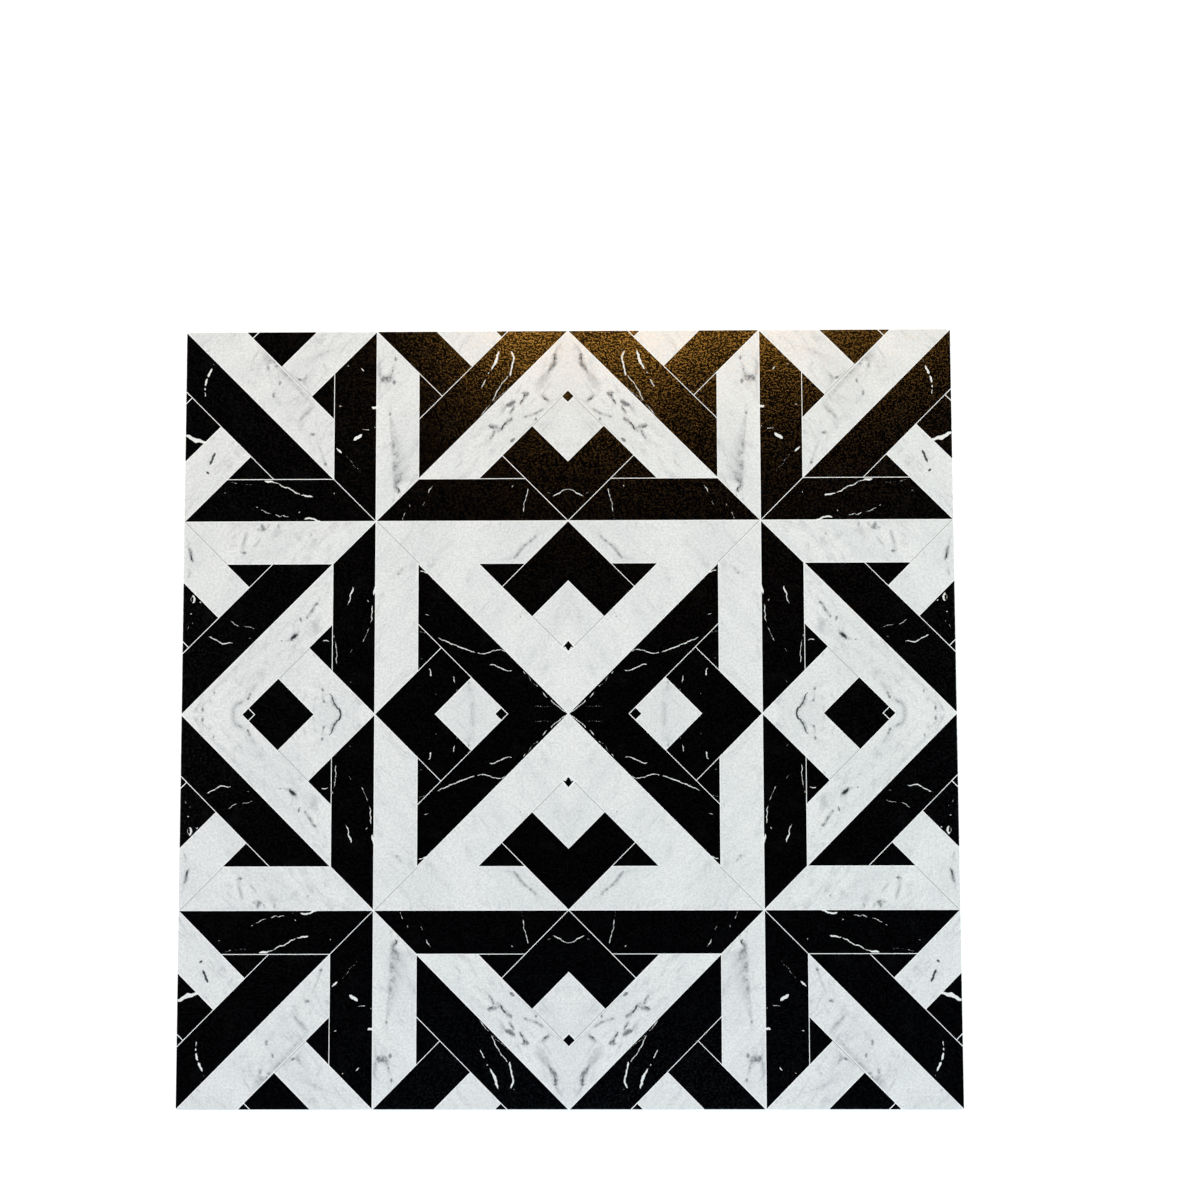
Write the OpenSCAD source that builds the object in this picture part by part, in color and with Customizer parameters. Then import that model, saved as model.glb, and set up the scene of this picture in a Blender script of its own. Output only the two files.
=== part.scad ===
// Square PVC tile: one sheet, die-cut from the face, with a printed wear face on top.
// The origin is at the middle of the back, which lies on the floor. +Z is out of the printed
// face, +X runs to its right and +Y to its far edge.

/* [Sheet] */
// Width of the tile across X, edge to edge
tile_w = 300; // [150:1:610]
// Length of the tile across Y, edge to edge
tile_l = 300; // [150:1:610]
// Thickness of the sheet, back to printed face
sheet_t = 2; // [1.2:0.1:5]

/* [Cut edge] */
// Radius that the die rolls over the rim of the printed face
face_rim_r = 0.3; // [0.1:0.05:0.45]
// Radius of the die at each corner, seen from above
corner_r = 0.6; // [0.5:0.1:6]

/* [Hidden] */

// The middle of each corner's radius, from the middle of the tile
corner_x = tile_w / 2 - corner_r;
corner_y = tile_l / 2 - corner_r;
// How far the tool that cuts the rim runs past the sheet, so that no skin is left
cut_past = 1;
$fn = 64;

// Half of the sheet's section, from its middle at x = 0 out to the cut edge at x = reach:
// a square arris at the back and a quarter round at the rim of the face
module half_section(reach) {
    difference() {
        square([reach, sheet_t]);
        translate([reach - face_rim_r, sheet_t - face_rim_r])
            difference() {
                square(face_rim_r + cut_past);
                circle(face_rim_r);
            }
    }
}

// A bar of the sheet along Y with both of its long edges cut
module band(width, length) {
    rotate([90, 0, 0])
        linear_extrude(height = length, center = true)
            union() {
                half_section(width / 2);
                mirror([1, 0]) half_section(width / 2);
            }
}

// The sheet: one band each way between the corners, and the section turned round each corner
module tile() {
    color([0.87, 0.88, 0.88])
        union() {
            band(tile_w, 2 * corner_y);
            rotate([0, 0, 90]) band(tile_l, 2 * corner_x);
            for (side = [-1, 1], end = [-1, 1])
                translate([side * corner_x, end * corner_y, 0])
                    rotate_extrude() half_section(corner_r);
        }
}

tile();
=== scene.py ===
import math
import random

import bmesh
import bpy
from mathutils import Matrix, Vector
from mathutils.geometry import delaunay_2d_cdt


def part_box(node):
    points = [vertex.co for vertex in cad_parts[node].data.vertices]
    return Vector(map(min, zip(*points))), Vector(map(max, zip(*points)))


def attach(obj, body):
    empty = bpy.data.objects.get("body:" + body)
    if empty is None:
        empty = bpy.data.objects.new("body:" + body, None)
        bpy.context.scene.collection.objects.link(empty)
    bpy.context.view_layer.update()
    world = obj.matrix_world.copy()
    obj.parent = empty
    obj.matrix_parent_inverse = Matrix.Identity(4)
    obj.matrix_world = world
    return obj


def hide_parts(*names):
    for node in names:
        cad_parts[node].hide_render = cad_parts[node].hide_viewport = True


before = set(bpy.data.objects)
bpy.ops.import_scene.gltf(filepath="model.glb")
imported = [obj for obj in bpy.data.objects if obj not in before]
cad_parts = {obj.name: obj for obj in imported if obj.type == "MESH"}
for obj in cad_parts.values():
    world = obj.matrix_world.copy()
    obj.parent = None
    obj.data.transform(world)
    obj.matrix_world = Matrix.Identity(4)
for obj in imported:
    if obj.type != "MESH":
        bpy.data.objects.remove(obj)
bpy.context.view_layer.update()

# The sheet is chalk-filled PVC, pressed flat and die-cut to a square from its face. The die rolls
# the printed film over a small rim, and leaves the cut edge square and the back quite flat.
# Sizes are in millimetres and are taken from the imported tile.
MM = 0.001
tile_low, tile_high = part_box("tile")
side = (tile_high.x - tile_low.x) / MM
sheet_t = (tile_high.z - tile_low.z) / MM
half = side / 2
rim_r = 0.3
corner_r = 0.6
core = half - corner_r
corner_steps = 6
rim_steps = 4


def square_outline(reach):
    """A quarter of the sheet's outline, from the X axis round to the Y axis, reach from its core."""
    points = [(core + reach, 0.0)]
    for step_no in range(corner_steps + 1):
        turn = math.radians(90) * step_no / corner_steps
        points.append((core + reach * math.cos(turn), core + reach * math.sin(turn)))
    points.append((0.0, core + reach))
    return points


face_outline = square_outline(corner_r - rim_r)

# The inlay is printed on the film under the wear layer: bars, triangles and squares of black and
# white marble with a white joint between them. One cell is mirrored into the next every quarter
# of the side, and is itself two halves about its diagonal.
cell = side / 4
bar_w = 16.6
joint_w = 0.26
hairline_w = 0.28
hairline_in = 0.11
dot_r = 2.5
dot_line = 0.44
dot_in = dot_r - dot_line / 2
dot_out = dot_r + dot_line / 2
spade_outline = ((0, 1), (0.35, 1.1), (1.05, 2.4), (2.15, 2.15), (0, 4.75))
inner = cell - bar_w
slant = bar_w * math.sqrt(2)
elbow = (cell - slant) / 2
notch = cell / 2 - slant

# An edge is a joint, open where the mirrored cell carries the piece on, flush with the frame, or
# the name of the piece it meets: two white ones have a grey hairline beside the joint.
OPEN = "open"
JOINT = "joint"
FLUSH = "flush"
half_cell = {
    "frame": [
        ((0, cell), "second"),
        ((bar_w, inner), JOINT),
        ((inner, inner), "frame"),
        ((cell, cell), JOINT),
    ],
    "slanted": [
        ((0, 0), JOINT),
        ((inner, inner), FLUSH),
        ((inner - slant, inner), JOINT),
        ((0, slant), OPEN),
    ],
    "second": [
        ((0, cell - slant), JOINT),
        ((notch, notch + slant), "slanted"),
        ((elbow, elbow + slant), JOINT),
        ((0, cell), OPEN),
    ],
    "triangle": [
        ((elbow, elbow + slant), JOINT),
        ((inner - slant, inner), JOINT),
        ((bar_w, inner), JOINT),
    ],
    "square": [
        ((0, slant), "slanted"),
        ((notch, notch + slant), JOINT),
        ((0, cell - slant), OPEN),
    ],
}


def is_black(part, upper, outer_column, outer_row):
    """Whether a part of a cell's upper or lower half is printed as black marble."""
    if part == "frame":
        return outer_row if upper else outer_column
    if part == "slanted":
        return outer_column if upper else not outer_column
    if part == "second":
        return not outer_column
    if part == "square":
        return outer_column
    return True


def drawn_in(corners, gaps):
    """The convex outline with each edge moved inwards by its own gap."""
    lines = []
    for place, gap in enumerate(gaps):
        start = Vector(corners[place])
        end = Vector(corners[(place + 1) % len(corners)])
        along = (end - start).normalized()
        lines.append((start + gap * Vector((-along.y, along.x)), along))
    moved = []
    for place, (point, along) in enumerate(lines):
        before, before_along = lines[place - 1]
        reach = (point - before).cross(along) / before_along.cross(along)
        moved.append(tuple(before + reach * before_along))
    return moved


def holds(outline, point):
    """Whether the point is inside the outline."""
    x, y = point
    inside = False
    for place, (x1, y1) in enumerate(outline):
        x0, y0 = outline[place - 1]
        if (y0 > y) != (y1 > y) and x < x0 + (y - y0) * (x1 - x0) / (y1 - y0):
            inside = not inside
    return inside


BLACK, WHITE, LINE, SHADE, BODY, BACK = range(6)


def cell_prints(outer_column, outer_row):
    """The cell's outlines and what is printed in each, those on top first."""
    dots = []
    bars = []
    for upper in (True, False):
        def placed(outline):
            return [(a, b) if upper else (b, a) for a, b in outline]

        spade = upper and not outer_column and not outer_row
        if spade:
            dots.append((placed([(a, slant + b) for a, b in spade_outline]), BLACK))
        middle = slant + dot_r
        for reach, ink in ((dot_in, WHITE if spade else BLACK), (dot_out, LINE)):
            diamond = [(0, middle - reach), (reach, middle), (0, middle + reach)]
            dots.append((placed(diamond), ink))
        for part, edges in half_cell.items():
            black = is_black(part, upper, outer_column, outer_row)
            corners = [corner for corner, meets in edges]
            gaps = []
            shade_gaps = []
            for corner, meets in edges:
                beside = "frame" if meets == FLUSH else meets
                both_white = False
                if beside in half_cell and not black:
                    same_half = upper != (beside == part)
                    both_white = not is_black(beside, same_half, outer_column, outer_row)
                shaded = both_white and meets != FLUSH and (upper or beside != part)
                gap = 0 if meets == OPEN else joint_w / 2
                if shaded:
                    gap = hairline_in
                elif both_white and meets == FLUSH:
                    gap = -joint_w / 2
                gaps.append(gap + hairline_w if shaded else gap)
                shade_gaps.append(gap)
            bars.append((placed(drawn_in(corners, gaps)), BLACK if black else WHITE))
            if gaps != shade_gaps:
                bars.append((placed(drawn_in(corners, shade_gaps)), SHADE))
    return dots + bars


prints = {(column, row): cell_prints(column, row) for column in (0, 1) for row in (0, 1)}


def to_cell(point):
    """The cell that holds a point of the quarter, and the point in that cell's own places."""
    column, row = (int(reach > cell) for reach in point)
    place = [half - reach if outer else reach for reach, outer in zip(point, (column, row))]
    return (column, row), place


def ink_at(point):
    """What is printed at a point of the quarter."""
    spot, place = to_cell(point)
    for outline, ink in prints[spot]:
        if holds(outline, place):
            return ink
    return LINE


# The marble's veins are part of the print and mirrored with it, so they are set out on one
# quarter: across from the tile's middle, then up. A vein prints white on the black marble, a
# streak dark on the white, and a cloud is a soft grey smudge. All wander between their points.
veins = []
streaks = []
clouds = []
wander_step = 0.9
wander_reach = 0.1
taper = 0.75
width_low = 0.8
width_high = 1.15
vein_soft = 0.42
vein_feather = 0.75
wander = random.Random(7)


def wandered(points):
    """The path through the points with more between them, each moved a little to one side."""
    path = [Vector((*point, 1.0)[:3]) for point in points]
    length = sum((b - a).xy.length for a, b in zip(path, path[1:]))
    step = min(wander_step, length / 3)
    while max((b - a).xy.length for a, b in zip(path, path[1:])) > step:
        finer = [path[0]]
        for a, b in zip(path, path[1:]):
            if (b - a).xy.length > step:
                across = Vector((a.y - b.y, b.x - a.x, 0))
                finer.append((a + b) / 2 + across * wander.uniform(-wander_reach, wander_reach))
            finer.append(b)
        path = finer
    return path


def ribbon(points, wide, strength, soft=0.0, feather=None):
    """A path with its reach to each side, drawn out to nothing over the steps at both ends.

    A point may carry a third value, its share of the width. The print fades over the feather
    inwards from the reach, or over all of it.
    """
    path = wandered(points)
    last = len(path) - 1
    reaches = []
    for place, point in enumerate(path):
        swell = min(1.0, taper * min(place, last - place))
        reaches.append((wide * point.z * wander.uniform(width_low, width_high) + soft) * swell)
    path = [point.xy for point in path]
    low = [min(point[axis] for point in path) - max(reaches) for axis in (0, 1)]
    high = [max(point[axis] for point in path) + max(reaches) for axis in (0, 1)]
    return path, reaches, strength, feather, low, high


def vein(points, wide=0.3, strength=1.0):
    veins.append(ribbon(points, wide, strength, vein_soft, vein_feather))


def streak(points, wide=0.3, strength=0.9):
    streaks.append(ribbon(points, wide, strength, vein_soft, vein_feather))


def cloud(points, wide=1.5, strength=0.5):
    clouds.append(ribbon(points, wide, strength))


# the corner cell's black marble
vein([(139.6, 137.5), (139, 137)], 0.22, 0.7)
vein([(139.9, 136.3, 0.8), (140.8, 134, 1.1), (141.7, 131.7, 1.3)], 0.32)
vein([(141.6, 132.2), (142.1, 130.8, 1.7), (142.4, 129.4, 1.2), (142.6, 128.2, 0.6)], 0.24)
vein([(142.8, 128.2), (142.6, 126.6)], 0.27, 0.95)
vein([(142.6, 127), (142.4, 123.5)], 0.35, 0.68)
vein([(151.5, 108.5, 0.5), (148.6, 108.9, 0.9), (146.9, 107.7, 1.1), (145.8, 107, 1.5),
      (144.4, 107.1, 0.9), (142.4, 106.3, 0.9), (141, 105.6)], 0.58)
vein([(119, 90.9), (117.2, 90.8, 1.4), (115, 90.6)], 0.32)
vein([(116.4, 90.6), (114.2, 90.3, 0.8), (112.7, 89.7, 0.7), (111.2, 88.6, 0.8), (109.7, 88.4),
      (108.2, 87.5, 0.9), (106.6, 86.3, 1.1), (104.2, 85.4, 0.8)], 0.18)
vein([(105, 85.7, 0.8), (101.8, 84.9, 1.2), (99.4, 84.4, 1.3)], 0.22)
vein([(132.4, 90.6), (128.8, 90)], 0.12, 0.74)
vein([(128.6, 89.7), (125, 89.6), (121.4, 90.2)], 0.14, 0.66)
vein([(122.2, 81.3), (120.8, 80.4)], 0.27, 0.9)
vein([(121, 80.3, 0.6), (118.9, 79.3), (115.2, 77.8, 1.2)], 0.11, 0.9)
vein([(115, 78, 0.8), (113.1, 77.2, 1.4), (112.4, 76.9), (111.3, 77.5, 0.8), (107.8, 77.1, 0.8)],
     0.13, 0.9)
vein([(108.2, 76.9), (103.4, 75.8)], 0.12, 0.68)
vein([(103.8, 75.8, 0.6), (102.3, 76.2), (99.3, 76.1, 1.1), (97.6, 75, 1.1), (94.6, 74.5)], 0.28)
vein([(135.6, 86.7), (132.4, 86.4)], 0.24, 0.68)
vein([(105.5, 78.5), (104.5, 79)], 0.24, 0.9)
vein([(80.5, 109.6, 0.8), (82.2, 108.1, 1.5), (84.1, 106.5, 0.8)], 0.47)
vein([(81.4, 111.3, 0.6), (79.2, 111.1, 0.8), (77.4, 110.7, 1.3)], 0.14, 0.92)
vein([(75.6, 112.6), (75.6, 111.5)], 0.21, 0.85)
vein([(77.3, 120.2, 0.8), (76.3, 119.7, 1.2), (73.6, 119.6)], 0.39)
vein([(90.3, 120.9), (88, 120.3)], 0.25, 0.78)
vein([(91.2, 104.2), (90, 103.1, 1.2), (88.4, 101.4)], 0.28)
vein([(88.2, 102.3), (84.2, 97.4), (80.4, 92.8)], 0.16, 0.68)
vein([(87, 137), (85.3, 136)], 0.18, 0.8)
vein([(81.7, 135.8), (79.7, 134)], 0.24, 0.95)
vein([(91.4, 86.6), (91.4, 85.4)], 0.22, 0.9)
# the upper middle cell's black marble
vein([(22.6, 142.3, 0.9), (21.5, 140.4), (21.2, 139), (21.9, 136.3), (22.3, 134.5, 0.7),
      (22.6, 133.1, 1.1), (22.6, 131.5)], 0.29)
vein([(22.8, 133), (24.6, 130.6), (26.4, 128.4), (28.6, 124.1), (29.9, 121.1)], 0.14, 0.95)
vein([(27, 142.7, 0.6), (27.8, 140.3, 1.6), (28.2, 138.2, 1.8), (28.9, 136.6, 1.3), (29.8, 135, 0.8),
      (30.6, 134, 0.5)], 0.27)
vein([(30.7, 133.8), (31.4, 132.7)], 0.22, 0.92)
vein([(31.9, 131.1), (34.1, 127.1)], 0.17)
vein([(21.3, 142.7), (20.5, 142.1)], 0.19, 0.75)
vein([(22.7, 128.2), (25.5, 125.2), (29.8, 121.2)], 0.08, 0.86)
vein([(29.8, 121.1), (32.7, 118.4), (35, 115.9)], 0.12, 0.92)
vein([(52.5, 90.1), (54.3, 87.3), (54.9, 85.2)], 0.15, 0.88)
vein([(63, 78.9), (64.2, 77), (65.3, 74.9)], 0.08, 0.9)
vein([(61.7, 82.2), (61.7, 79.9)], 0.25, 0.7)
vein([(55.7, 84), (56.1, 82.3), (57, 79.9)], 0.2, 0.68)
vein([(15.4, 88.9, 1.1), (15.9, 85.8), (16.5, 84), (17.2, 82.1), (17.2, 80.4, 1.2), (17.8, 77.8)],
     0.13, 0.95)
vein([(17.6, 78.4), (18.1, 74.8)], 0.09, 0.68)
vein([(21, 89.2), (22.2, 87.9)], 0.21, 0.84)
vein([(6.5, 84.3, 0.9), (4.1, 85.6, 1.3), (0.2, 87.3), (-3, 88.6)], 0.12)
vein([(9.2, 86), (6.2, 85.8)], 0.22, 0.7)
# the side cell's black marble
vein([(83.6, 50, 1.2), (83.7, 48.4, 1.3), (84.9, 46.1, 1.2), (84.8, 44.6, 0.7), (86.2, 41.8, 0.8)], 0.19)
vein([(74.9, 51.6), (75.3, 48.2, 1.2), (75.6, 45.6)], 0.26)
vein([(75.4, 45), (75.4, 43.8)], 0.16, 0.75)
vein([(75.9, 42.7, 0.7), (76.3, 40.9, 1.2), (76.1, 39.7, 0.9), (76.5, 38.2, 0.8), (76.2, 36.9),
      (77.1, 34.8)], 0.16, 0.92)
vein([(76.7, 34.4, 0.8), (78.1, 31.7), (79, 29.7), (80.1, 27.6, 1.1)], 0.13, 0.94)
vein([(83, 25.7), (85.9, 22.9)], 0.16, 0.68)
vein([(78.5, 45), (76.8, 43)], 0.25, 0.8)
vein([(90.9, 31), (91, 29.3)], 0.2, 0.9)
vein([(91.3, 29), (90.4, 27.8), (90.1, 25.8, 1.2), (89.8, 23.2), (90.1, 21.4, 1.2), (90.2, 18.6)],
     0.11, 0.94)
vein([(96.2, 28.3), (94.6, 28.6, 1.3), (92.4, 28.1)], 0.17, 0.95)
vein([(84.8, 11.9), (83.8, 13.1)], 0.22, 0.82)
vein([(146.4, 46.6), (145.4, 45), (145.7, 43.8), (146.5, 42.8)], 0.36, 0.92)
vein([(146.2, 46.6), (147, 44.8), (146.3, 42.9)], 0.12, 0.8)
vein([(144, 43.8), (142.7, 43.3)], 0.22, 0.88)
vein([(147.8, 39.1), (145.9, 39.4)], 0.22, 0.85)
vein([(146.1, 36), (146.1, 35)], 0.21, 0.7)
vein([(146.8, 35), (148.5, 32.3)], 0.2, 0.84)
vein([(132.2, 36.6, 0.6), (129.9, 35.1), (127.3, 33.7, 0.8)], 0.14, 0.88)
vein([(126.7, 34.8, 1.2), (123.2, 33.8, 0.8), (120, 32.9, 0.6)], 0.09, 0.86)
vein([(125, 29.3), (121.9, 29.9)], 0.15, 0.76)
vein([(140.5, 30.3, 0.7), (139, 30), (137.6, 29.2), (136.1, 28.4, 1.1), (134.3, 27.4, 1.4),
      (132.6, 27.6, 0.9), (131.3, 27.9, 1.2), (129.7, 27.6, 0.6)], 0.14)
# the middle cell's black marble
vein([(58.4, 55.8, 0.8), (56.1, 55.3), (54.7, 54.7, 1.3), (53.4, 54.2, 1.2)], 0.18, 0.95)
vein([(53.9, 52.5), (51.5, 52.2)], 0.12, 0.72)
vein([(56.2, 38.6), (52.6, 38.1)], 0.15, 0.8)
vein([(51.2, 30.1, 0.6), (48.6, 28.5, 0.9), (44.8, 27, 0.9), (40.7, 25.4), (35.8, 23.4, 1.1)], 0.17)
vein([(36, 23.6, 1.1), (33.7, 23.3), (30.7, 23.8, 1.1), (28.1, 24.5, 0.7), (26, 24.9, 0.8),
      (23.8, 23.5, 1.1)], 0.11)
vein([(31.3, 18.8, 0.8), (28.4, 18.8), (25.8, 17.6, 1.2), (24, 16.8, 1.2), (21.3, 16.6, 1.1)], 0.14)
vein([(58.4, 32), (54.8, 31)], 0.08, 0.8)
vein([(58.4, 21.4), (55.1, 21.3)], 0.09, 0.8)
vein([(54.4, 18.2, 0.8), (53.1, 14.2, 1.3)], 0.22, 0.95)
vein([(44.4, 15.2), (44, 11.4)], 0.16, 0.92)
vein([(43.7, 10.5), (42.9, 7.8)], 0.08, 0.84)
vein([(51.9, 9), (50.6, 6.7)], 0.22, 0.7)
vein([(17.7, 17.1), (16.2, 14.7)], 0.16, 0.9)
vein([(16.1, 15.1), (11.3, 9.8)], 0.12, 0.78)
vein([(10.2, 8.7), (7.9, 5.9)], 0.15, 0.94)
vein([(7, 5.7), (3.9, 2.8), (0.3, 0.1), (-2, -1.5)], 0.15, 0.94)
vein([(13.8, 3.3), (5.8, 3)], 0.09, 0.72)
# the white marble, corner cell
streak([(138.1, 102.8), (139.2, 99.8, 1.1), (140.5, 96.9)], 0.47, 1.0)
streak([(141.9, 95.2), (140.5, 93.6)], 0.56, 0.95)
cloud([(118.2, 136.8), (117.6, 134.3)], 1.4, 1.0)
cloud([(115.4, 138), (115, 137.4)], 1.0, 0.75)
cloud([(113.4, 131), (113.4, 128.6)], 1.4, 0.71)
cloud([(115.4, 126.4), (115.6, 123.6)], 1.6, 0.65)
cloud([(106.2, 131.4), (104.4, 130.8)], 1.1, 1.3)
cloud([(100, 120.2), (105.3, 114)], 2.0, 0.49)
cloud([(101.6, 110), (98.9, 109.2)], 1.4, 0.77)
cloud([(95.1, 98.4), (94.6, 96.6)], 1.5, 0.9)
cloud([(98.1, 140.6), (93.6, 142.4)], 2.2, 0.46)
# the white marble, upper middle cell
streak([(66.5, 88.4), (65.5, 86.3)], 0.48, 0.82)
streak([(16.2, 125), (17.1, 124.4), (17.4, 123)], 0.32, 0.9)
streak([(17.2, 123.4), (18.7, 121.2)], 0.32, 0.95)
streak([(10.1, 124.2), (7.7, 121.9)], 0.32, 0.88)
streak([(5.2, 140.6), (5, 137.5)], 0.52, 0.82)
streak([(22.8, 117.9), (21.1, 119.9)], 0.29, 0.84)
streak([(23.2, 114.3, 0.7), (24.6, 113.3), (25.6, 112.2, 1.3), (26.5, 110.2)], 0.26, 0.92)
streak([(28.4, 111.4), (30.2, 111.9), (31.5, 112.8)], 0.28, 0.86)
streak([(28.8, 109.9), (30.9, 107.2)], 0.14, 0.78)
cloud([(73.6, 131.4), (71, 131), (69.2, 132.4)], 2.3, 0.98)
cloud([(70.8, 131.2), (69.2, 132.2)], 1.3, 1.1)
cloud([(67.8, 140.2), (67.7, 138)], 1.0, 0.73)
cloud([(68.9, 135), (68.8, 133.8)], 1.0, 0.83)
cloud([(68, 131.2), (67.8, 128.2)], 1.1, 1.05)
cloud([(69.7, 118.2), (69.7, 116.4)], 1.3, 0.72)
cloud([(67.2, 89.4), (66, 86)], 1.8, 1.03)
cloud([(65.7, 85.2), (65.5, 84)], 0.9, 0.97)
cloud([(68.3, 83.8), (68.1, 82.6)], 0.9, 0.62)
cloud([(18, 125.4), (15.6, 125.4), (18.8, 120.4)], 1.4, 0.95)
cloud([(10.7, 125), (7.6, 121.7)], 1.4, 0.77)
cloud([(5.3, 141.2), (5.9, 136.4), (7.3, 134.2)], 1.9, 0.99)
cloud([(24.3, 120.4), (20.5, 122.4)], 1.6, 1.1)
cloud([(23.2, 117.2), (20.8, 120.2)], 1.3, 0.75)
cloud([(22.4, 117.8), (22.1, 116.2)], 0.9, 0.34)
cloud([(21.8, 115.7), (24.5, 113.4), (27.3, 109.2)], 1.7, 0.67)
cloud([(31, 112.6), (27.3, 112)], 1.6, 0.84)
cloud([(28.2, 110.8), (31, 107.1)], 1.3, 0.75)
cloud([(20.3, 107.6), (22.7, 105.8)], 1.3, 1.05)
cloud([(9, 119.2), (17.5, 115.8)], 1.2, 0.72)
cloud([(12.6, 115.7), (12.4, 114.3)], 1.0, 0.8)
# the white marble, side cell
streak([(147.3, 62.6), (147, 61.2, 1.2), (146.3, 59.4)], 0.32, 0.95)
streak([(107.8, 28.9), (106.4, 30.2, 1.3), (105.2, 31.3)], 0.54, 1.0)
streak([(111.9, 28.8), (111, 28.1)], 0.35, 0.84)
streak([(99, 40.9), (100.7, 38.6)], 0.17, 0.78)
streak([(92.7, 8.6, 0.6), (91, 5.3), (90, 3.3), (88.6, 1.8, 1.5), (88.1, 0, 1.3), (88.6, -1.8)],
       0.28, 0.9)
streak([(118.9, 73.6), (118.4, 71.2)], 0.08, 0.76)
cloud([(148, 65.3), (147.1, 61), (146.2, 59)], 1.6, 0.75)
cloud([(147.7, 57), (148, 53)], 1.4, 0.49)
cloud([(108, 28.6), (105, 31.3)], 1.7, 1.02)
cloud([(97.3, 43.4), (99.6, 40.2), (102, 36.7)], 1.3, 0.74)
cloud([(104.3, 38), (103.7, 35.2)], 1.1, 1.01)
cloud([(91.8, 7), (88.2, 0), (88.6, -2)], 1.7, 0.61)
cloud([(122.8, 8.9), (124.3, 5.4)], 1.1, 0.76)
cloud([(126, 5), (129.5, 3), (129.5, -1)], 2.2, 0.5)
cloud([(139, 6), (138.6, 5)], 1.1, 0.52)
cloud([(141.9, 3), (141.9, 0.8)], 1.2, 0.72)
cloud([(137.7, 9.3), (137.3, 7.7)], 1.1, 0.69)
cloud([(95, 5.6), (94.2, 4.4)], 1.2, 0.87)
cloud([(95.2, 10.8), (94.9, 8.6)], 1.1, 0.74)
cloud([(119.3, 74.4), (118.6, 71.2)], 1.8, 0.83)
cloud([(121.8, 71.9), (117.4, 72)], 1.5, 0.58)
cloud([(116.4, 74.4), (117.5, 72.3)], 1.1, 0.65)
cloud([(113.2, 74.3), (113.1, 72.2)], 1.1, 0.71)
cloud([(125.7, 71.8), (126.8, 65.6), (126.5, 62)], 1.7, 0.49)
cloud([(127.3, 63.1), (125.5, 62.5)], 1.3, 1.17)
cloud([(119.6, 68.7), (122.9, 65.2)], 1.2, 0.46)
cloud([(100.6, 70.4), (99.8, 69)], 1.1, 0.6)
cloud([(107, 70.4), (103, 67)], 2.4, 0.34)
# the white marble, middle cell
cloud([(12.2, 69.6), (16.5, 65.6), (21.5, 60.4)], 1.7, 0.6)
cloud([(64.3, 57), (67, 54)], 1.5, 0.61)
streak([(19, 38.2), (18.4, 37)], 0.27, 0.85)
cloud([(38.9, 13), (38.3, 11.4)], 1.1, 0.83)
cloud([(37, 5), (37, -1)], 3.0, 0.4)
cloud([(30.4, 8.6), (30, 7.6)], 1.0, 0.44)


def printed_strength(ribbons, point):
    """How strongly the nearest of these ribbons prints at a point, down to 0 past its reach."""
    x, y = point
    strongest = 0.0
    for path, reaches, strength, feather, low, high in ribbons:
        if not (low[0] <= x <= high[0] and low[1] <= y <= high[1]):
            continue
        for place in range(len(path) - 1):
            start, along = path[place], path[place + 1] - path[place]
            away = Vector((x - start.x, y - start.y))
            share = min(max(away.dot(along) / along.length_squared, 0.0), 1.0)
            reach = reaches[place] + share * (reaches[place + 1] - reaches[place])
            gap = (away - share * along).length
            if gap < reach:
                strongest = max(strongest, strength * (reach - gap) / (feather or reach))
    return strongest


# The face is the film's print laid out as one flat mesh: the inlay's joints and the reach of each
# vein are its edges. A quarter is set out first, then mirrored twice to make the whole face.
weld_reach = 0.0001
on_axis = 0.001
points = []
lines = []


def draw(outline, closed=True):
    """Adds an outline or a path to the quarter's lines."""
    first = len(points)
    points.extend(Vector((round(x, 4) + 0.0, round(y, 4) + 0.0)) for x, y in outline)
    count = len(points) - first
    lines.extend((first + place, first + place + 1) for place in range(count - 1))
    if closed:
        lines.append((first + count - 1, first))


quarter = [(0, 0)] + face_outline
draw(quarter)
for (column, row), outlines in prints.items():
    for outline, ink in outlines:
        draw([(half - a if column else a, half - b if row else b) for a, b in outline])
for path, reaches, strength, feather, low, high in veins + streaks + clouds:
    draw(path, closed=False)
    for hand in (-1, 1):
        edge = []
        for place, point in enumerate(path):
            along = path[min(place + 1, len(path) - 1)] - path[max(place - 1, 0)]
            across = Vector((-along.y, along.x)).normalized()
            edge.append(point + hand * reaches[place] * across)
        draw(edge, closed=False)

laid_points, _, laid_faces, _, _, _ = delaunay_2d_cdt(points, lines, [], 0, weld_reach)
laid_points = [Vector(0.0 if abs(axis) < on_axis else axis for axis in point) for point in laid_points]

mesh = bpy.data.meshes.new("pvc_tile")
build = bmesh.new()
strengths = {}
for name, ribbons in (("vein", veins), ("streak", streaks), ("cloud", clouds)):
    build.verts.layers.float.new(name)
    strengths[name] = [printed_strength(ribbons, point) for point in laid_points]
kept = []
for corners in laid_faces:
    centre = sum((laid_points[corner] for corner in corners), Vector((0, 0))) / len(corners)
    if min(centre) > 0 and holds(quarter, centre):
        kept.append((corners, ink_at(centre)))
welded = {}
for across in (1, -1):
    for up in (1, -1):
        for corners, ink in kept:
            ring = []
            for corner in corners:
                x, y = laid_points[corner]
                spot = (corner, across if x else 0, up if y else 0)
                if spot not in welded:
                    vert = build.verts.new((across * x * MM, up * y * MM, sheet_t * MM))
                    for name, by_corner in strengths.items():
                        vert[build.verts.layers.float[name]] = by_corner[corner]
                    welded[spot] = vert
                ring.append(welded[spot])
            face = build.faces.new(ring if across * up > 0 else ring[::-1])
            face.material_index = ink

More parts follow.
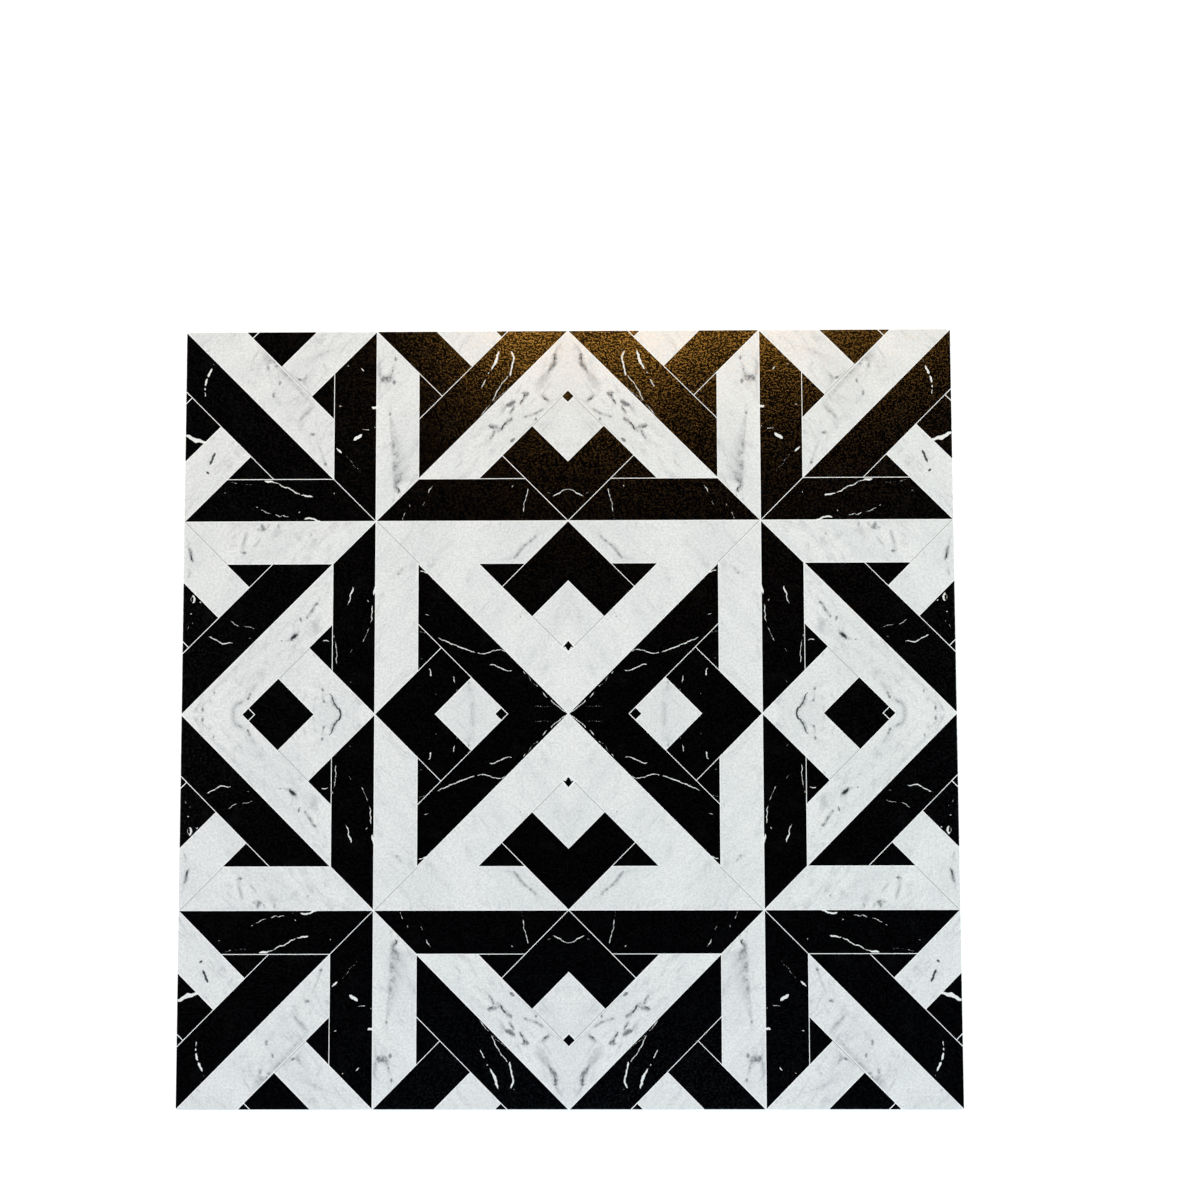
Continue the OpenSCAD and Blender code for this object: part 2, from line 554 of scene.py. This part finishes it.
# The die's cut is carried on from the face's outer edge: the film over the small rim, then the
# bare cut edge down to the floor, and the back as one fan of faces around its middle.
rim_edges = [edge for edge in build.edges if len(edge.link_faces) == 1]
inks = {}
for edge in rim_edges:
    inks[edge] = edge.link_faces[0].material_index
ring = sorted(
    {vert for edge in rim_edges for vert in edge.verts},
    key=lambda vert: math.atan2(vert.co.y, vert.co.x),
)
ring_inks = []
for place, vert in enumerate(ring):
    following = ring[(place + 1) % len(ring)]
    edge = build.edges.get((vert, following))
    ring_inks.append(inks[edge])


def ring_at(reach, height):
    """The rim's verts moved out to reach from the sheet's core, at a height."""
    moved = []
    for vert in ring:
        corner = [min(max(axis / MM, -core), core) for axis in vert.co.xy]
        outward = Vector((vert.co.x / MM - corner[0], vert.co.y / MM - corner[1])).normalized()
        new = build.verts.new(
            ((corner[0] + reach * outward.x) * MM, (corner[1] + reach * outward.y) * MM, height * MM)
        )
        moved.append(new)
    return moved


def skirt(upper, lower, ink=None):
    """Faces between two rings, in one ink or in that of the print beside them."""
    for place in range(len(upper)):
        after = (place + 1) % len(upper)
        face = build.faces.new((upper[place], lower[place], lower[after], upper[after]))
        face.material_index = ring_inks[place] if ink is None else ink
        face.smooth = True


above = ring
for step_no in range(1, rim_steps + 1):
    turn = math.radians(90) * step_no / rim_steps
    drop = rim_r * (1 - math.cos(turn))
    below = ring_at(corner_r - rim_r + rim_r * math.sin(turn), sheet_t - drop)
    skirt(above, below)
    above = below
foot = ring_at(corner_r, 0)
skirt(above, foot, BODY)
middle = build.verts.new((0, 0, 0))
for place in range(len(foot)):
    face = build.faces.new((foot[place], middle, foot[(place + 1) % len(foot)]))
    face.material_index = BACK
build.normal_update()

# Each ink's share of the texture map named OFBake: left edge, foot and width. The marbles
# share the large square, since no part of the face carries both, and the cut edge is four strips.
bake_areas = {
    BLACK: (0.01, 0.01, 0.9),
    WHITE: (0.01, 0.01, 0.9),
    LINE: (0.93, 0.01, 0.04),
    SHADE: (0.93, 0.07, 0.04),
    BACK: (0.93, 0.13, 0.06),
    BODY: (0.01, 0.93, 0.9),
}
strip_pitch = 0.016
strip_per_mm = 0.006
bake = build.loops.layers.uv.new("OFBake")
for face in build.faces:
    left, foot_v, share = bake_areas[face.material_index]
    for loop in face.loops:
        x, y, z = loop.vert.co / MM
        if face.material_index == BODY:
            across = abs(face.normal.x) > abs(face.normal.y)
            strip = 2 * across + (face.normal.x + face.normal.y > 0)
            along = y if across else x
            up_strip = strip_pitch * strip + strip_per_mm * z
            loop[bake].uv = (left + share * (along / side + 0.5), foot_v + up_strip)
        else:
            loop[bake].uv = (left + share * (x / side + 0.5), foot_v + share * (y / side + 0.5))
build.to_mesh(mesh)
build.free()
tile = bpy.data.objects.new("pvc_tile", mesh)
bpy.context.collection.objects.link(tile)

# The face is printed film under a clear wear layer with a fine emboss, and each ink has a material
# of its own. The emboss's lumps are glossier than its dips, so lamps glint on it as a sparkle.
emboss_grain = 0.72
emboss_depth = 0.026
even_gloss = 0.4
vein_lean = math.radians(128)
MIX_FIRST = 6
MIX_SECOND = 7


def add_node(tree, kind, inputs=None, **settings):
    """A shader node with its settings, and each input joined to a socket or given a value."""
    made = tree.nodes.new("ShaderNode" + kind)
    for name, value in settings.items():
        setattr(made, name, value)
    for name, value in (inputs or {}).items():
        if isinstance(value, bpy.types.NodeSocket):
            tree.links.new(value, made.inputs[name])
        else:
            made.inputs[name].default_value = value
    return made


def calc(tree, operation, *values, clamp=False):
    """The result of a sum on sockets and numbers."""
    made = add_node(tree, "Math", dict(enumerate(values)), operation=operation, use_clamp=clamp)
    return made.outputs[0]


def ramp(tree, value, low, high, to_low=0.0, to_high=1.0):
    """The value eased from one range to another."""
    made = add_node(
        tree,
        "MapRange",
        {"Value": value, "From Min": low, "From Max": high, "To Min": to_low, "To Max": to_high},
        interpolation_type="SMOOTHSTEP",
    )
    return made.outputs[0]


def noise(tree, place, grain, detail=2.0, roughness=0.5, distortion=0.0):
    """Noise whose lumps are about grain millimetres across."""
    made = add_node(
        tree,
        "TexNoise",
        {
            "Vector": place,
            "Scale": 1 / (grain * MM),
            "Detail": detail,
            "Roughness": roughness,
            "Distortion": distortion,
        },
    )
    return made.outputs["Fac"]


def blend(tree, share, first, second):
    """One colour laid over another."""
    made = add_node(
        tree,
        "Mix",
        {"Factor": share, MIX_FIRST: first, MIX_SECOND: second},
        data_type="RGBA",
    )
    return made.outputs[2]


def tone(red, green, blue):
    """A colour as seen, 0 to 255 in each of red, green and blue."""
    seen = (value / 255 for value in (red, green, blue))
    return (*(v / 12.92 if v <= 0.04045 else ((v + 0.055) / 1.055) ** 2.4 for v in seen), 1.0)


def print_place(tree):
    """A place on the print: mirrored about the tile's two middle lines, as the print is."""
    where = add_node(tree, "TexCoord").outputs["Object"]
    split = add_node(tree, "SeparateXYZ", {0: where})
    across = calc(tree, "ABSOLUTE", split.outputs["X"])
    up = calc(tree, "ABSOLUTE", split.outputs["Y"])
    return add_node(tree, "CombineXYZ", {"X": across, "Y": up}).outputs[0]


def film(name, colour_of):
    """Printed film under a clear embossed wear layer. colour_of draws the print's colour."""
    material = bpy.data.materials.new(name)
    material.use_nodes = True
    tree = material.node_tree
    shader = tree.nodes["Principled BSDF"]
    colour = colour_of(tree)
    if isinstance(colour, bpy.types.NodeSocket):
        tree.links.new(colour, shader.inputs["Base Color"])
    else:
        shader.inputs["Base Color"].default_value = colour
    where = add_node(tree, "TexCoord").outputs["Object"]
    relief = noise(tree, where, emboss_grain, 0.0)
    bump = add_node(tree, "Bump", {"Strength": 1.0, "Distance": emboss_depth * MM, "Height": relief})
    tree.links.new(bump.outputs[0], shader.inputs["Normal"])
    tree.links.new(ramp(tree, relief, 0.35, 0.7, 0.14, 0.19), shader.inputs["Roughness"])
    gloss = ramp(tree, relief, 0.42, 0.66, 0.1, 1.0)
    shader.inputs["Specular IOR Level"].default_value = even_gloss
    tree.links.new(gloss, shader.inputs["Specular IOR Level"])
    tile.data.materials.append(material)


def vein_line(tree, place, name, ragged, blur):
    """Where a vein or streak prints: noise tears its edges and breaks its thin parts."""
    crack = add_node(tree, "Attribute", attribute_name=name).outputs["Fac"]
    broken = ramp(tree, noise(tree, place, 3.2, 2.0), 0.3, 0.6, 0.86, 1.05)
    tear = calc(tree, "SUBTRACT", noise(tree, place, 0.7, 3.0, 0.6), 0.5)
    torn = calc(tree, "MULTIPLY_ADD", tear, ragged, calc(tree, "MULTIPLY", crack, broken))
    return ramp(tree, torn, 0.56 - blur, 0.56 + blur)


def black_marble(tree):
    place = print_place(tree)
    body = blend(tree, ramp(tree, noise(tree, place, 9, 4.0), 0.5, 0.8), tone(1, 1, 2), tone(7, 7, 8))
    return blend(tree, vein_line(tree, place, "vein", 0.6, 0.1), body, tone(236, 237, 234))


def white_marble(tree):
    place = print_place(tree)
    along = add_node(
        tree,
        "Mapping",
        {"Vector": place, "Rotation": (0, 0, vein_lean), "Scale": (2.6, 1, 1)},
        vector_type="TEXTURE",
    ).outputs[0]
    cloud = add_node(tree, "Attribute", attribute_name="cloud").outputs["Fac"]
    depth = ramp(tree, noise(tree, along, 17, 4.0, 0.6, 0.4), 0.34, 0.66)
    body = blend(tree, depth, tone(230, 232, 231), tone(240, 241, 239))
    grain = ramp(tree, noise(tree, place, 0.9, 2.0), 0.36, 0.64, 0.0, 0.34)
    body = blend(tree, grain, body, tone(200, 201, 202))
    split = add_node(tree, "SeparateXYZ", {0: place}).outputs
    out = calc(tree, "MAXIMUM", split["X"], split["Y"])
    busy = ramp(tree, out, 0.8 * cell * MM, 1.2 * cell * MM, 0.36, 0.6)
    wisps = ramp(tree, noise(tree, along, 4.2, 6.0, 0.7, 1.0), 0.5, 0.76)
    body = blend(tree, calc(tree, "MULTIPLY", wisps, busy), body, tone(165, 166, 170))
    haze = ramp(tree, noise(tree, along, 3.0, 5.0, 0.7, 0.6), 0.24, 0.68)
    haze = calc(tree, "MULTIPLY", haze, ramp(tree, cloud, 0.0, 0.8), clamp=True)
    body = blend(tree, calc(tree, "MULTIPLY", haze, 0.85), body, tone(146, 148, 152))
    fleck = calc(tree, "MULTIPLY_ADD", cloud, 0.3, noise(tree, place, 1.7, 4.0, 0.65, 0.5))
    fleck = calc(tree, "MULTIPLY", ramp(tree, fleck, 0.62, 0.8), ramp(tree, cloud, 0.25, 0.6))
    body = blend(tree, calc(tree, "MULTIPLY", fleck, 0.7), body, tone(94, 96, 100))
    line = calc(tree, "MULTIPLY", vein_line(tree, place, "streak", 0.8, 0.18), 0.94)
    return blend(tree, line, body, tone(42, 43, 47))


film("black marble print", black_marble)
film("white marble print", white_marble)
film("joint print", lambda tree: tone(249, 250, 249))
film("joint shade print", lambda tree: tone(165, 167, 167))

# Below the film the sheet is bare filled PVC: pale, dull and finely specked with its filler. It
# shows at the cut edge and, with coarser specks, on the back.
speck_tone = tone(150, 150, 148)
cut_roughness = 0.01


def compound(name, colour, grain):
    """Bare filled PVC whose specks are about grain millimetres across."""
    material = bpy.data.materials.new(name)
    material.use_nodes = True
    tree = material.node_tree
    shader = tree.nodes["Principled BSDF"]
    where = add_node(tree, "TexCoord").outputs["Object"]
    specks = ramp(tree, noise(tree, where, grain, 3.0, 0.7), 0.55, 0.75)
    tree.links.new(blend(tree, specks, colour, speck_tone), shader.inputs["Base Color"])
    rough = noise(tree, where, grain * 2, 2.0)
    tree.links.new(ramp(tree, rough, 0.3, 0.7, 0.5, 0.65), shader.inputs["Roughness"])
    bump = add_node(tree, "Bump", {"Strength": 1.0, "Distance": cut_roughness * MM, "Height": rough})
    tree.links.new(bump.outputs[0], shader.inputs["Normal"])
    tile.data.materials.append(material)


compound("cut pvc", tone(214, 213, 209), 0.25)
compound("pvc back", tone(205, 205, 202), 0.6)

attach(tile, "root")
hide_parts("tile")

# The floor is one wide pale sheet of paper that the tile lies on. It shows white to the camera
# and keeps the tile's soft shadow, and lies a hair lower so that back and paper never coincide.
floor_side = 8000
floor_drop = 0.2
bpy.ops.mesh.primitive_plane_add(size=floor_side * MM, location=(0, 0, -floor_drop * MM))
floor = bpy.context.object
floor.name = "floor"
paper = bpy.data.materials.new("paper")
paper.use_nodes = True
tree = paper.node_tree
sheet = tree.nodes["Principled BSDF"]
sheet.inputs["Base Color"].default_value = tone(240, 240, 240)
sheet.inputs["Roughness"].default_value = 0.9
sheet.inputs["Specular IOR Level"].default_value = 0.1
rays = add_node(tree, "LightPath").outputs
seen = calc(tree, "MAXIMUM", rays["Is Camera Ray"], rays["Is Glossy Ray"])
seen = calc(tree, "MAXIMUM", seen, rays["Is Transmission Ray"])
where = add_node(tree, "TexCoord").outputs["Object"]
away = add_node(tree, "VectorMath", {0: where}, operation="LENGTH").outputs["Value"]
glow = ramp(tree, away, side * MM, 3 * side * MM, 0.35, 1.0)
sheet.inputs["Emission Color"].default_value = (1, 1, 1, 1)
tree.links.new(calc(tree, "MULTIPLY", seen, glow), sheet.inputs["Emission Strength"])
floor.data.materials.append(paper)

# The room is pale at eye level and dark overhead, so that the tile's face stays clear of glare.
# Four soft boxes light it, a little cooler from the right and the near side, and the warm pendants
# beyond its far edge leave an amber sheen on the black.
world = bpy.data.worlds.new("studio")
bpy.context.scene.world = world
world.use_nodes = True
tree = world.node_tree
direction = add_node(tree, "TexCoord").outputs["Generated"]
height = add_node(tree, "SeparateXYZ", {0: direction}).outputs["Z"]
tree.links.new(ramp(tree, height, 0.2, 0.6, 1.0, 0.01), tree.nodes["Background"].inputs["Strength"])
tree.nodes["Background"].inputs["Color"].default_value = (1, 1, 1, 1)


def softbox(name, place, size, power, colour, aim=(0, 0, 0)):
    """A soft area lamp, in metres and watts, facing the point that it aims at."""
    light = bpy.data.lights.new(name, "AREA")
    light.shape = "RECTANGLE"
    light.size, light.size_y = size
    light.energy = power
    light.color = colour
    lamp = bpy.data.objects.new(name, light)
    lamp.location = place
    lamp.rotation_euler = (Vector(aim) - Vector(place)).to_track_quat("-Z", "Y").to_euler()
    lamp.visible_camera = False
    bpy.context.collection.objects.link(lamp)


box_size = (0.7, 0.7)
softbox("left", (-1.1, 0.0, 0.8), box_size, 5.9, (1.0, 0.94, 1.0))
softbox("right", (1.1, 0.0, 0.8), box_size, 6.9, (0.74, 0.94, 1.0))
softbox("far", (0.0, 1.05, 0.72), box_size, 7.7, (1.0, 0.965, 0.85))
softbox("near", (0.0, -1.05, 0.72), box_size, 7.1, (0.55, 0.78, 1.0))
pendant_size = (0.08, 0.12)
amber = (1.0, 0.47, 0.07)
pendant_far = 0.542
pendant_up = 1.2
for across, power in ((-0.1, 0.66), (0.08, 0.7), (0.26, 0.47), (0.44, 0.24)):
    place = (across, pendant_far, pendant_up)
    softbox("pendant", place, pendant_size, power, amber, (across, half * MM, 0))

# The camera looks almost straight down on the tile, from the far side of its middle and about
# one and a half of its sides up.
eye = bpy.data.cameras.new("camera")
eye.lens = 35
eye.sensor_width = 36
camera = bpy.data.objects.new("camera", eye)
camera.location = (0.0153, 0.0212, 0.4546)
camera.rotation_euler = [math.radians(turn) for turn in (2.883, 0.381, -0.166)]
bpy.context.collection.objects.link(camera)
bpy.context.scene.camera = camera
bpy.context.scene.view_settings.view_transform = "Standard"
